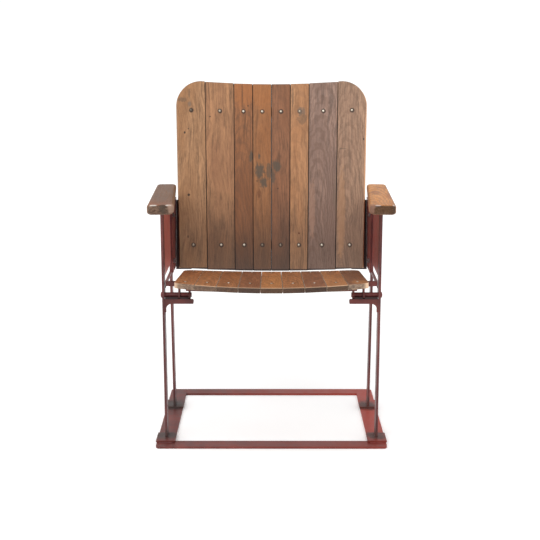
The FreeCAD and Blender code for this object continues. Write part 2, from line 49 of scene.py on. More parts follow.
def rgb(red, green, blue):  # screen colour 0-255 to a linear colour
    def linear(part):
        part /= 255
        return part / 12.92 if part <= 0.04045 else ((part + 0.055) / 1.055) ** 2.4
    return (linear(red), linear(green), linear(blue), 1.0)


# Node helpers: a socket given as an input is linked, anything else is set on the node
def setInputs(tree, made, inputs):
    for key, value in inputs.items():
        if isinstance(value, bpy.types.NodeSocket):
            tree.links.new(value, made.inputs[key])
        else:
            made.inputs[key].default_value = value


def addNode(tree, kind, inputs=None, **settings):
    made = tree.nodes.new("ShaderNode" + kind)
    for name, value in settings.items():
        setattr(made, name, value)
    setInputs(tree, made, inputs or {})
    return made


def calc(tree, operation, first, second=0.0):
    return addNode(tree, "Math", {0: first, 1: second}, operation=operation).outputs[0]


def times(tree, first, second):
    return calc(tree, "MULTIPLY", first, second)


def plus(tree, first, second):
    return calc(tree, "ADD", first, second)


def vectorCalc(tree, operation, first, second):
    return addNode(tree, "VectorMath", {0: first, 1: second}, operation=operation).outputs[0]


def stretch(tree, vector, factors):
    return vectorCalc(tree, "MULTIPLY", vector, factors)


def remap(tree, value, low, high, toLow=0.0, toHigh=1.0):
    inputs = {"Value": value, "From Min": low, "From Max": high, "To Min": toLow, "To Max": toHigh}
    return addNode(tree, "MapRange", inputs, interpolation_type="SMOOTHSTEP").outputs[0]


def noise(tree, vector, seed, detail=3.0, roughness=0.55, scale=1.0):
    inputs = {"Vector": vector, "W": seed, "Scale": scale, "Detail": detail, "Roughness": roughness}
    return addNode(tree, "TexNoise", inputs, noise_dimensions="4D").outputs[0]


def wash(tree, colour, mask, show, over):  # lays a colour over another where a mask shows it
    inputs = {0: times(tree, mask, show), 6: colour, 7: over}
    return addNode(tree, "Mix", inputs, data_type="RGBA").outputs[2]


def washes(tree, colour, look, rows):  # lays a look's own colours, each row a mask, a share and a colour
    for mask, show, over in rows:
        colour = wash(tree, colour, mask, look[show], look[over])
    return colour


def ramp(tree, factor, stops):
    made = addNode(tree, "ValToRGB", {0: factor})
    elements = made.color_ramp.elements
    while len(elements) < len(stops):
        elements.new(0.5)
    for element, (position, colour) in zip(elements, stops):
        element.position = position
        element.color = colour
    return made.outputs[0]


def threeTones(tree, factor, look):  # from the dark through the body colour to the pale one
    return ramp(tree, factor, ((0.15, look["dark"]), (0.5, look["body"]), (0.85, look["pale"])))


def attribute(tree, name, output):
    return addNode(tree, "Attribute", attribute_name=name).outputs[output]


def newGroup(name, inputs, outputs):
    tree = bpy.data.node_groups.new(name, "ShaderNodeTree")
    for label, kind in inputs.items():
        tree.interface.new_socket(name=label, in_out="INPUT", socket_type="NodeSocket" + kind)
    for label in outputs:
        tree.interface.new_socket(name=label, in_out="OUTPUT", socket_type="NodeSocketFloat")
    return tree, tree.nodes.new("NodeGroupInput").outputs, tree.nodes.new("NodeGroupOutput").inputs


def useGroup(tree, group, inputs):
    made = tree.nodes.new("ShaderNodeGroup")
    made.node_tree = group
    setInputs(tree, made, inputs)
    return made.outputs


# Sawn boards: slow drift and tone, fibres along the board, flecks, ring figure and open pores. Lengths are in
# metres. A layer has its counts per metre across, along and through the board, detail, roughness and span
sawnWood = {
    "wander": (10, 5, 10), "sway": 0.009, "ringScale": 62.0, "ringBend": 5.0, "ringSpan": (0.3, 0.95),
    "heart": (0.012, 0, 0.03), "heartTilt": (math.radians(7), 0, math.radians(3)),
    "layers": {"Drift": ((20, 5, 20), 2.0, 0.55, 0.3, 0.7), "Tone": ((105, 13, 105), 3.0, 0.55, 0.3, 0.7),
               "Fibre": ((400, 17, 400), 4.0, 0.6, 0.33, 0.67),
               "Fleck": ((230, 95, 230), 4.0, 0.6, 0.33, 0.67),
               "Pore": ((1300, 70, 1300), 2.0, 0.55, 0.56, 0.72)},
}


def makeWoodGrain():
    tree, given, out = newGroup("woodGrain", {"Board": "Vector", "Seed": "Float"},
                                (*sawnWood["layers"], "Figure"))
    board, seed = given["Board"], given["Seed"]
    wander = noise(tree, stretch(tree, board, sawnWood["wander"]), seed, 2.0)
    aside = remap(tree, wander, 0.2, 0.8, -sawnWood["sway"], sawnWood["sway"])
    sway = addNode(tree, "CombineXYZ", {"X": aside}).outputs[0]
    bent = vectorCalc(tree, "ADD", board, sway)
    for label, (counts, detail, roughness, low, high) in sawnWood["layers"].items():
        space = stretch(tree, board if label == "Fleck" else bent, counts)
        layer = noise(tree, space, seed, detail, roughness)
        tree.links.new(remap(tree, layer, low, high), out[label])
    heart = addNode(tree, "Mapping", {"Vector": bent, "Location": sawnWood["heart"],
                                      "Rotation": sawnWood["heartTilt"]}).outputs[0]
    rings = addNode(tree, "TexWave", {"Vector": heart, "Scale": sawnWood["ringScale"],
                                      "Distortion": sawnWood["ringBend"], "Detail": 3.0,
                                      "Detail Scale": 0.7, "Phase Offset": seed},
                    wave_type="RINGS", rings_direction="Y").outputs[1]
    tree.links.new(remap(tree, rings, *sawnWood["ringSpan"]), out["Figure"])
    return tree


# A ragged mark on a board: a stain, knot, crack or hole, or a painted highlight or shadow, by its middle and
# reach in metres
markEdge = {"grit": (190, 110, 190), "outer": 1.05, "inner": 0.6}


def makeBoardMark():
    tree, given, out = newGroup("boardMark", {"Board": "Vector", "Middle": "Vector", "Reach": "Vector",
                                              "Ragged": "Float", "Seed": "Float"}, ("Mask",))
    board = given["Board"]
    share = vectorCalc(tree, "DIVIDE", vectorCalc(tree, "SUBTRACT", board, given["Middle"]), given["Reach"])
    distance = addNode(tree, "VectorMath", {0: share}, operation="LENGTH").outputs["Value"]
    rough = noise(tree, stretch(tree, board, markEdge["grit"]), given["Seed"], 4.0, 0.65)
    shaken = plus(tree, distance, times(tree, calc(tree, "SUBTRACT", rough, 0.5), given["Ragged"]))
    tree.links.new(remap(tree, shaken, markEdge["outer"], markEdge["inner"]), out["Mask"])
    return tree


# Old paint on flat iron: slow fading, blotches, rust specks, bare rims and settled dust.
# Scales are counts per metre
oldPaint = {"fadeScale": 6.0, "blotchScale": 38.0, "speckScale": 170.0, "rustEdge": 0.66, "rustSoft": 0.05}


def makeIronPaint():
    tree, given, out = newGroup("ironPaint", {"Place": "Vector", "Rim": "Float", "Upward": "Float",
                                              "Wear": "Float"},
                                ("Fade", "Blotch", "Rust", "Bare", "Dust", "Height"))
    place = given["Place"]
    fade = noise(tree, place, 1.3, 2.0, scale=oldPaint["fadeScale"])
    blotch = noise(tree, place, 4.1, 4.0, 0.6, scale=oldPaint["blotchScale"])
    speck = noise(tree, place, 7.7, 3.0, 0.6, scale=oldPaint["speckScale"])
    patchy = plus(tree, times(tree, blotch, 0.55), times(tree, speck, 0.45))
    rustEdge = calc(tree, "SUBTRACT", oldPaint["rustEdge"], times(tree, given["Wear"], 0.1))
    rust = remap(tree, calc(tree, "SUBTRACT", patchy, rustEdge), 0.0, oldPaint["rustSoft"])
    bare = remap(tree, times(tree, given["Rim"], plus(tree, speck, given["Wear"])), 0.66, 0.95)
    dust = times(tree, remap(tree, given["Upward"], 0.5, 1.0), remap(tree, blotch, 0.35, 0.7))
    height = calc(tree, "SUBTRACT", plus(tree, speck, times(tree, blotch, 0.6)), times(tree, rust, 0.8))
    for label, socket in (("Fade", remap(tree, fade, 0.3, 0.7)), ("Blotch", remap(tree, blotch, 0.32, 0.68)),
                          ("Rust", rust), ("Bare", bare), ("Dust", dust), ("Height", height)):
        tree.links.new(socket, out[label])
    return tree


woodGrain = makeWoodGrain()
boardMark = makeBoardMark()
ironPaint = makeIronPaint()
print("node groups made")


def newMaterial(name, fixed):  # fixed numbers go straight onto the shader's own sockets
    material = bpy.data.materials.new(name)
    material.use_nodes = True
    tree = material.node_tree
    tree.nodes.clear()
    shader = addNode(tree, "BsdfPrincipled", fixed)
    tree.links.new(shader.outputs[0], addNode(tree, "OutputMaterial").inputs["Surface"])
    return material, tree, shader


def finishShader(tree, shader, look, colour, rough, height):
    gloss = remap(tree, rough, *look["rough"], look["gloss"], look["gloss"] + look["glossSpan"])
    bump = addNode(tree, "Bump", {"Height": height, "Strength": 0.4, "Distance": look["relief"]}).outputs[0]
    setInputs(tree, shader, {"Base Color": colour, "Roughness": gloss, "Normal": bump})


def boardMaterial(name, look, seed, marks=()):
    material, tree, shader = newMaterial(name, {"Specular IOR Level": look["shine"]})
    board = attribute(tree, "boardSpace", "Vector")
    share = addNode(tree, "SeparateXYZ", {0: attribute(tree, "boardShare", "Vector")}).outputs
    facing = addNode(tree, "SeparateXYZ", {0: attribute(tree, "boardFacing", "Vector")}).outputs
    grain = useGroup(tree, woodGrain, {"Board": board, "Seed": seed})
    streaks = plus(tree, times(tree, grain["Tone"], look["toneShare"]),
                   times(tree, grain["Fibre"], look["fibreShare"]))
    blend = plus(tree, streaks, times(tree, grain["Fleck"], look["fleckShare"]))
    # Each board darkens towards its lower end (the front end on seat and arms): on the back boards this is
    # painted shade over their lower half, on the arms and seat a warmer tint
    foot = plus(tree, share["Y"], times(tree, grain["Drift"], look["footDrift"]))
    foot = remap(tree, foot, look["footStart"], look["footEnd"])
    flank = calc(tree, "ABSOLUTE", share["X"])
    lip = times(tree, remap(tree, flank, look["lipStart"], look["lipEnd"]),
                remap(tree, grain["Tone"], *look["lipTone"]))
    colour = washes(tree, threeTones(tree, blend, look), look, (
        (grain["Drift"], "driftShow", "drift"), (grain["Figure"], "figure", "line"),
        (grain["Pore"], "pore", "line"), (foot, "footShadeAge", "ageAndShade"), (lip, "lipShow", "worn")))
    height = calc(tree, "SUBTRACT", times(tree, grain["Fibre"], look["fibreRise"]),
                  times(tree, grain["Pore"], look["poreSink"]))

    def layMarks(colour, height, onEnds):
        for index, mark in enumerate(marks):
            if mark.get("onEnds", False) == onEnds:
                mask = useGroup(tree, boardMark, {"Board": board, "Middle": mark["middle"],
                                                  "Reach": mark["reach"], "Ragged": mark["ragged"],
                                                  "Seed": seed + index})["Mask"]
                colour = wash(tree, colour, mask, mark["show"], mark["colour"])
                height = calc(tree, "SUBTRACT", height, times(tree, mask, mark["dent"]))
        return colour, height

    colour, height = layMarks(colour, height, False)
    # hem: a dark strip along the bottom end of a board; on the back it is painted shade under the bottom edge
    hem = remap(tree, share["Y"], look["hemStart"], look["hemStart"] - look["hemSoft"])
    right = remap(tree, facing["X"], *look["sideFacing"])
    left = remap(tree, facing["X"], *(-edge for edge in look["sideFacing"]))
    seam = plus(tree, times(tree, left, look["seamLeft"]), times(tree, right, look["seamRight"]))
    # Outer side faces take their own colour; on the back's right edge this is a painted highlight
    outer = calc(tree, "SUBTRACT", plus(tree, left, right), seam)
    # Side faces that meet a neighbour take the seam colour: dark joints on the back, and on the seat a pale
    # colour that is painted light, standing for the bright floor seen through the gaps
    colour = washes(tree, colour, look, (
        (hem, "hemShow", "hem"), (seam, "seamShow", "seamGrimeAndLight"), (outer, "outerShow", "outer")))
    ends = remap(tree, calc(tree, "ABSOLUTE", facing["Y"]), *look["endFacing"])
    dots = noise(tree, stretch(tree, board, look["endGrain"]), seed, 4.0, 0.65)
    dots = remap(tree, dots, *look["endDots"])
    raw = ramp(tree, dots, ((0.0, look["endDark"]), (1.0, look["endPale"])))
    colour = wash(tree, colour, ends, look["endShow"], raw)
    colour, height = layMarks(colour, height, True)
    # brow: faces turning from the top to the front end, washed pale as a painted highlight where browShow is
    # set (on the seat)
    brow = times(tree, remap(tree, facing["Y"], *look["browFacing"]),
                 remap(tree, facing["Y"], *look["browEnd"]))
    rear = remap(tree, facing["Z"], *look["underFacing"])
    colour = washes(tree, colour, look, ((brow, "browShow", "brow"), (rear, "rearAge", "under")))
    rough = plus(tree, plus(tree, grain["Fibre"], grain["Pore"]), times(tree, seam, look["seamRough"]))
    finishShader(tree, shader, look, colour, rough, height)
    return material


def ironMaterial(name, look):
    material, tree, shader = newMaterial(name, {"Specular IOR Level": look["shine"]})
    place = addNode(tree, "TexCoord").outputs["Object"]
    rim, upward = attribute(tree, "rim", "Fac"), attribute(tree, "upward", "Fac")
    paint = useGroup(tree, ironPaint, {"Place": place, "Rim": rim, "Upward": upward, "Wear": look["wear"]})
    blotch = times(tree, paint["Blotch"], look["blotchShare"])
    blend = plus(tree, times(tree, paint["Fade"], look["fadeShare"]), blotch)
    soot = remap(tree, plus(tree, attribute(tree, "soot", "Fac"), blotch), *look["sootEdge"])
    colour = washes(tree, threeTones(tree, blend, look), look, (
        (attribute(tree, "warm", "Fac"), "warmShow", "warm"), (paint["Rust"], "rustShow", "rust"),
        (paint["Dust"], "dustShow", "dust"), (soot, "sootShow", "soot"), (paint["Bare"], "bareShow", "bare")))
    dull = plus(tree, paint["Blotch"], paint["Rust"])
    finishShader(tree, shader, look, colour, dull, paint["Height"])
    return material


def metalMaterial(name, look):  # heads of rivets and screws, each with its own tone
    material, tree, shader = newMaterial(name, {"Metallic": look["metal"]})
    place = addNode(tree, "TexCoord").outputs["Object"]
    grit = noise(tree, place, 2.0, 4.0, 0.6, scale=look["gritScale"])
    shift = remap(tree, grit, *look["rough"], -look["gritTone"], look["gritTone"])
    tone = plus(tree, attribute(tree, "tone", "Fac"), shift)
    colour = ramp(tree, tone, ((0.0, look["dirty"]), (0.55, look["dull"]), (1.0, look["bright"])))
    finishShader(tree, shader, look, colour, grit, grit)
    return material


# Pieces: worked copies of CAD nodes with eased edges, and parts built from profiles
def openNode(node):
    bm = bmesh.new()
    bm.from_mesh(cadNodes[node].data)
    bmesh.ops.remove_doubles(bm, verts=bm.verts, dist=1e-6)
    bmesh.ops.dissolve_limit(bm, angle_limit=math.radians(0.5), verts=bm.verts, edges=bm.edges)
    return bm


def sharpEdges(bm, turn=28):  # edges whose faces turn by more degrees than this
    return [edge for edge in bm.edges
            if len(edge.link_faces) == 2 and edge.calc_face_angle() > math.radians(turn)]


def easeEdges(bm, edges, ease, segments):
    made = bmesh.ops.bevel(bm, geom=edges, offset=ease, segments=segments, profile=0.5, affect="EDGES",
                           clamp_overlap=True)
    return set(made["faces"])


backSeam = {"near": 0.006, "share": 0.49}


def meetNeighbours(bm, node, nodes, axes):  # rear corners of boards side by side move to where they touch
    others = [np.array(vert.co) for other in nodes if other != node for vert in cadNodes[other].data.vertices]
    others = np.unique(np.round(others, 7), axis=0)
    middle = np.mean([np.array(vert.co) for vert in bm.verts], axis=0)
    for vert in bm.verts:
        place = np.array(vert.co)
        if (place - middle) @ axes[2] < 0:
            away = others - place
            nearest = away[np.argmin(np.linalg.norm(away, axis=1))]
            if np.linalg.norm(nearest) < backSeam["near"]:
                vert.co = Vector(place + axes[0] * (nearest @ axes[0]) * backSeam["share"])


def closeMesh(bm, name, worked=()):
    rims = [float(all(face in worked for face in vert.link_faces)) for vert in bm.verts]
    mesh = bpy.data.meshes.new(name)
    bm.to_mesh(mesh)
    bm.free()
    mesh.materials.clear()
    setAttribute(mesh, "rim", rims)
    return mesh


def setAttribute(mesh, name, values):
    values = np.asarray(values, dtype=np.float32)
    if values.ndim == 1:
        mesh.attributes.new(name, "FLOAT", "POINT").data.foreach_set("value", values)
    else:
        mesh.attributes.new(name, "FLOAT_VECTOR", "POINT").data.foreach_set("vector", values.ravel())


def pointsOf(mesh):
    return np.array([vert.co for vert in mesh.vertices])


def steadyNormals(mesh):  # wide faces keep their own direction, eased edges turn between them
    normals = np.zeros((len(mesh.vertices), 3))
    for polygon in mesh.polygons:
        normals[list(polygon.vertices)] += np.array(polygon.normal) * polygon.area
    normals /= np.maximum(np.linalg.norm(normals, axis=1, keepdims=True), 1e-12)
    return normals


def meshOf(name, points, faces):
    mesh = bpy.data.meshes.new(name)
    mesh.from_pydata([tuple(point) for point in points], [], faces)
    return mesh


def addObject(name, data):
    made = bpy.data.objects.new(name, data)
    bpy.context.scene.collection.objects.link(made)
    return made


def addPiece(name, mesh, material, body, nodes=(), normals=None):
    piece = addObject(name, mesh)
    mesh.materials.append(material)
    mesh.polygons.foreach_set("use_smooth", [True] * len(mesh.polygons))
    if normals is None:
        mesh.set_sharp_from_angle(angle=math.radians(50))
    else:
        mesh.normals_split_custom_set_from_vertices([tuple(normal) for normal in normals])
    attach(piece, body)
    if nodes:
        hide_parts(*nodes)
    return piece


def boardAxes(bm):  # middle and half size, with the across, along and outward directions as rows
    points = np.array([vert.co for vert in bm.verts])
    outward = np.array(max(bm.faces, key=lambda face: face.calc_area()).normal)
    outward *= 1 if outward[2] - outward[1] > 0 else -1
    longest = sorted(bm.edges, key=lambda edge: -edge.calc_length())[:4]
    along = np.zeros(3)
    for edge in longest:
        run = np.array(edge.verts[1].co - edge.verts[0].co)
        along += run * (1 if run[1] + run[2] > 0 else -1)
    along -= outward * along.dot(outward)
    along /= np.linalg.norm(along)
    axes = np.array((np.cross(along, outward), along, outward))
    local = points @ axes.T
    low, high = local.min(0), local.max(0)
    return (low + high) / 2 @ axes, (high - low) / 2, axes


# A board built again on the outline of its top face, with rounded edges, fuller under the inner side
def roundBoard(bm, boards):
    top = max(bm.faces, key=lambda face: face.normal.z * face.calc_area())
    outline = np.array([vert.co for vert in top.verts])
    corners = np.array([vert.co for vert in bm.verts])
    low, high = corners[:, 2].min(), corners[:, 2].max()
    spare = (np.ptp(corners[:, 1]) - np.ptp(outline[:, 1])) / 2
    bm.free()
    run = np.roll(outline, -1, axis=0) - outline
    run /= np.linalg.norm(run, axis=1, keepdims=True)
    aim = np.stack((run[:, 1], -run[:, 0], np.zeros(len(run))), axis=1)
    mitre = aim + np.roll(aim, 1, axis=0)
    mitre *= 2 / (mitre ** 2).sum(1, keepdims=True)
    inner = np.clip(-mitre[:, 0] * np.sign(outline[:, 0].mean()), 0, 1)
    under = boards["ease"] + (boards["underEase"] - boards["ease"]) * inner
    over = np.full(len(outline), boards["ease"])
    turns = np.linspace(0, math.pi / 2, 7)
    profile = [(under * (1 - math.sin(turn)), low + under * (1 - math.cos(turn))) for turn in turns]
    profile += [(over * (1 - math.cos(turn)), high - over * (1 - math.sin(turn))) for turn in turns]
    made = bmesh.new()
    rings = []
    for inset, level in profile:
        ring = outline + mitre * (spare - inset[:, None])
        ring[:, 2] = level
        rings.append([made.verts.new(point) for point in ring])
    count = len(outline)
    for first, second in zip(rings, rings[1:]):
        for step in range(count):
            after = (step + 1) % count
            made.faces.new((first[step], first[after], second[after], second[step]))
    made.faces.new(rings[0][::-1])
    made.faces.new(rings[-1])
    made.normal_update()
    return made


def addBoard(node, body, boards, makeMaterial):
    bm = openNode(node)
    middle, half, axes = boardAxes(bm)
    if boards["meets"]:
        meetNeighbours(bm, node, boards["meets"], axes)
    if boards["frontEase"]:
        front = []
        for edge in sharpEdges(bm, 60):
            aims = [axes @ np.array(face.normal) for face in edge.link_faces]
            if max(aim[2] for aim in aims) > 0.9 and min(aim[1] for aim in aims) < -0.6:
                front.append(edge)
        easeEdges(bm, front, boards["frontEase"], 5)
    if boards["underEase"]:
        bm = roundBoard(bm, boards)
    else:
        easeEdges(bm, sharpEdges(bm), boards["ease"], 2)
    mesh = closeMesh(bm, node)
    local = (pointsOf(mesh) - middle) @ axes.T
    normals = steadyNormals(mesh)
    setAttribute(mesh, "boardSpace", local)
    setAttribute(mesh, "boardShare", local / half)
    setAttribute(mesh, "boardFacing", normals @ axes.T)
    material = makeMaterial(middle, half, axes)
    return addPiece(node + "_board", mesh, material, body, [node], normals)


def looseParts(node):  # the separate solids of a node, as arrays of points, in the same order on every run
    bm = openNode(node)
    seen, parts = set(), []
    for start in bm.verts:
        if start not in seen:
            seen.add(start)
            found = [start]
            for vert in found:  # the list grows while it is read
                beside = [edge.other_vert(vert) for edge in vert.link_edges]
                found += [other for other in beside if other not in seen]
                seen.update(beside)
            parts.append(np.array([vert.co for vert in found]))
    bm.free()
    return parts


def headPlace(points):  # foot, outward direction, radius and height of a domed head
    mean = points.mean(0)
    outward = np.linalg.eigh(np.cov((points - mean).T))[1][:, 0]
    rise = (points - mean) @ outward
    reach = np.linalg.norm(points - mean - rise[:, None] * outward, axis=1)
    if reach[rise > 0].mean() > reach[rise < 0].mean():
        outward, rise = -outward, -rise
    return {"foot": mean + outward * rise.min(), "outward": outward, "radius": reach.max(),
            "height": rise.max() - rise.min()}


heads = {node: [headPlace(points) for points in looseParts(node)]
         for node in ("back_rivets", "seat_rivets", "bracket_bolts", "arm_screws")}


def tubeFaces(first, rings, sides):  # faces of a tube made of rings of points, with both ends closed
    faces = []
    for ring in range(rings - 1):
        for side in range(sides):
            low, after = first + ring * sides + side, first + ring * sides + (side + 1) % sides
            faces.append((low, after, after + sides, low + sides))
    last = first + (rings - 1) * sides
    return faces + [tuple(range(first + sides - 1, first - 1, -1)), tuple(range(last, last + sides))]


def turnedMesh(name, spots, profile, segments):  # profile turned about each spot's outward direction
    points, faces, tones = [], [], []
    widest = max(reach for reach, rise in profile)
    for spot in spots:
        outward = Vector(spot["outward"]).normalized()
        first = outward.orthogonal().normalized()
        second = outward.cross(first)
        start = len(points)
        for reach, rise in profile:
            for step in range(segments):
                angle = 2 * math.pi * step / segments
                spoke = first * math.cos(angle) + second * math.sin(angle)
                place = Vector(spot["foot"]) + spoke * reach * spot["radius"]
                points.append(place + outward * rise * spot["height"])
                tones.append(spot.get("tone", 0.5) * (1 - spot.get("rimDirt", 0) * (reach / widest) ** 2))
        faces += tubeFaces(start, len(profile), segments)
    mesh = meshOf(name, points, faces)
    setAttribute(mesh, "tone", tones)
    return mesh


def dyed(kind, red, green, blue, show, **more):  # a kind of mark in a colour of its own
    return dict(kind, colour=rgb(red, green, blue), show=show, **more)


# Back: eight boards, wide at the sides and narrow in the middle, each with its own marks
backBoards = {
    "nodes": [f"back_slat_{number}" for number in range(1, 9)],
    "ease": 0.0015, "frontEase": 0, "underEase": 0, "seed": 1.0,
    "bodies": [(164, 124, 90), (160, 117, 83), (142, 95, 62), (146, 101, 66),
               (136, 93, 66), (168, 124, 88), (142, 115, 101), (156, 124, 101)],
    "drifts": [(154, 110, 74), (144, 100, 72), (124, 79, 50), (148, 94, 54),
               (126, 82, 55), (168, 116, 76), (126, 100, 88), (142, 111, 91)],
    # How far each back board darkens towards its bottom: painted shade
    "footShadeAges": [0.45, 0.75, 0.9, 0.82, 0.9, 0.5, 0.5, 0.45],
    "figures": [0.1, 0.1, 0.28, 0.12, 0.14, 0.16, 0.3, 0.24],
    "dark": 0.74, "pale": 1.15, "ageAndShade": (74, 57, 48), "seamGrimeAndLight": (40, 39, 40), "under": (40, 39, 40),
    "line": (92, 66, 50), "worn": (198, 150, 110), "endDark": (62, 46, 38), "endPale": (108, 80, 60),
    # The right outer side face, on slat 8, is pale orange: a painted highlight along the back's right edge
    "hem": (48, 38, 34), "brow": (198, 150, 110), "outers": [(148, 110, 80), (226, 168, 124)],
    "loose": False,
}
backBoards["meets"] = backBoards["nodes"]
# Template for stains, also used for the painted highlight on slat 8
stainAndHighlight = {"ragged": 2.2, "colour": rgb(84, 74, 62), "show": 0.85, "dent": 0.1}
hole = {"ragged": 0.4, "colour": rgb(46, 38, 34), "show": 0.9, "dent": 1.5}
tan = dyed(stainAndHighlight, 118, 98, 82, 0.75)
faint = dict(stainAndHighlight, show=0.45)
# Slat, place across and along as shares of its half size, and reach in millimetres
backMarks = [
    (1, -0.1, 0.75, 6, 9, tan), (1, -0.12, 0.86, 3, 18, faint), (1, -0.65, 0.8, 18, 7, faint),
    (1, -0.48, 0.45, 3, 4, hole), (1, -0.22, 0.49, 2, 2, hole), (1, -0.26, -0.21, 4.4, 4.4, hole),
    (1, -0.36, -0.65, 1.8, 5, hole), (2, -0.68, 0.63, 2.2, 2.2, hole),
    (3, 0.0, 0.95, 40, 60, dyed(stainAndHighlight, 166, 104, 58, 0.55, ragged=1.6, dent=0.0)),
    (4, 0.0, 0.95, 40, 70, dyed(stainAndHighlight, 162, 102, 56, 0.5, ragged=1.6, dent=0.0)),
    (3, -0.12, 0.88, 1.4, 36, dict(hole, ragged=0.6, show=0.8)), (3, 0.5, 0.76, 2.2, 2.2, hole),
    (3, 0.82, 0.22, 6, 16, stainAndHighlight), (4, -0.34, 0.23, 4, 9, stainAndHighlight), (4, -0.3, 0.07, 15, 23, stainAndHighlight),
    (4, 0.7, 0.06, 9, 28, dict(stainAndHighlight, show=0.7)), (4, 0.15, -0.06, 12, 16, stainAndHighlight),
    (4, -0.56, -0.04, 2, 2, hole),
    (4, -0.35, -0.18, 7, 12, dyed(stainAndHighlight, 104, 62, 38, 0.65, ragged=2.8)),
    (5, -0.45, 0.12, 14, 20, stainAndHighlight), (5, -0.9, 0.0, 9, 26, dict(stainAndHighlight, show=0.75)),
    (5, -0.3, -0.12, 2, 2, hole),
    (6, 0.22, 0.7, 13, 14, tan), (6, 0.3, 0.62, 15, 18, faint), (6, -0.75, 0.86, 3, 34, faint),
    (6, 0.02, -0.6, 2.6, 3.4, dict(hole, colour=rgb(92, 48, 34))),
    (7, -0.7, -0.35, 10, 95, dyed(stainAndHighlight, 164, 126, 104, 0.45, ragged=1.4, dent=0.0)),
    (8, -0.62, -0.42, 13, 150, dyed(stainAndHighlight, 174, 130, 94, 0.5, ragged=1.2, dent=0.0)),
    (7, 0.9, -0.18, 7, 50, dict(tan, show=0.45)), (8, -0.55, 0.28, 14, 1.6, faint),
    (8, 0.86, 0.38, 2.2, 4, hole),
    # A pale orange streak down the right edge of slat 8: painted highlight
    (8, 1.0, 0.0, 3, 230, dyed(stainAndHighlight, 214, 152, 104, 0.6, ragged=0.4, dent=0.0)),
]
# Dark rings round the rivets, set off to the right and down so that they act as painted shadows of the heads
halo = {"ragged": 0.6, "colour": rgb(62, 48, 40), "show": 0.92, "dent": 0.3}
haloPlace = {"wider": 0.0028, "deep": 0.01, "offset": (0.0007, -0.0005, 0), "slack": 0.002}


def rivetHalos(rivets, middle, half, axes):  # dark rings round the rivets that sit in this board
    found = []
    for rivet in rivets:
        local = axes @ (rivet["foot"] - middle)
        if np.all(np.abs(local) < half + haloPlace["slack"]):
            reach = rivet["radius"] + haloPlace["wider"]
            # the offset pushes the ring right and down: painted shadow
            found.append(dict(halo, middle=tuple(local + np.array(haloPlace["offset"])),
                              reach=(reach, reach, haloPlace["deep"])))
    return found


# What all boards share unless a call below says otherwise
boardDefaults = {
    "toneShare": 0.38, "fibreShare": 0.46, "fleckShare": 0.16, "driftShow": 0.7, "pore": 0.4,
    "footStart": 0.05, "footEnd": -0.95, "footDrift": 0.3, "lipStart": 0.93, "lipEnd": 0.99,
    "lipTone": (0.2, 0.8), "lipShow": 0.35, "hemStart": -2.0, "hemSoft": 0.009, "hemShow": 0.0,
    "sideFacing": (0.3, 0.6), "seamShow": 0.95, "seamRough": 2.0, "outerShow": 0.7,
    "endFacing": (0.35, 0.75), "endGrain": (130, 60, 300), "endDots": (0.36, 0.64), "endShow": 0.85,
    "browFacing": (-0.1, -0.35), "browEnd": (-0.92, -0.6), "underFacing": (-0.1, -0.7), "rearAge": 0.45,
    "fibreRise": 0.5, "poreSink": 0.6, "relief": 0.0007, "shine": 0.3, "rough": (0.0, 3.0), "gloss": 0.48,
    "glossSpan": 0.36,
}


def boardLook(boards, index, more):
    body = boards["bodies"][index]
    count = len(boards["bodies"])
    ending = boards.get("endTones", [1.0] * count)[index]
    look = {name: rgb(*boards[name]) for name in ("ageAndShade", "seamGrimeAndLight", "under", "line", "worn", "hem", "brow")}
    look.update(boardDefaults)
    look.update({
        "body": rgb(*body), "drift": rgb(*boards["drifts"][index]),
        "dark": rgb(*(part * boards["dark"] for part in body)),
        "pale": rgb(*(min(255, part * boards["pale"]) for part in body)),
        "endDark": rgb(*(part * ending for part in boards["endDark"])),
        "endPale": rgb(*(part * ending for part in boards["endPale"])),
        "figure": boards["figures"][index], "footShadeAge": boards["footShadeAges"][index],
        "browShow": boards.get("browShows", [0.0] * count)[index],
        "seamLeft": float(index > 0 and not boards["loose"]),
        "seamRight": float(index < count - 1 and not boards["loose"]),
        "outer": rgb(*boards["outers"][0 if index == 0 else -1]),
    })
    look.update(more)
    return look


markDepth, seedStep = 0.006, 3.7


def dressBoards(boards, body, slot, rivets=(), marks=(), **more):
    for index, node in enumerate(boards["nodes"]):
        def makeMaterial(middle, half, axes):
            own = rivetHalos(rivets, middle, half, axes)
            for number, across, along, wide, tall, kind in marks:
                if number == index + 1:
                    place = (across * half[0], along * half[1], half[2])
                    reach = (wide / 1000, tall / 1000, kind.get("deep", markDepth))
                    own.append(dict(kind, middle=place, reach=reach))
            look = boardLook(boards, index, more)
            return boardMaterial(node + "Wood", look, boards["seed"] + seedStep * index, own)
        addBoard(node, body, boards, makeMaterial)


# The back's boards carry painted shade along their bottom edge (hemStart, hemShow)
dressBoards(backBoards, "frame", "back_wood", heads["back_rivets"], backMarks, hemStart=-0.976, hemShow=0.85)

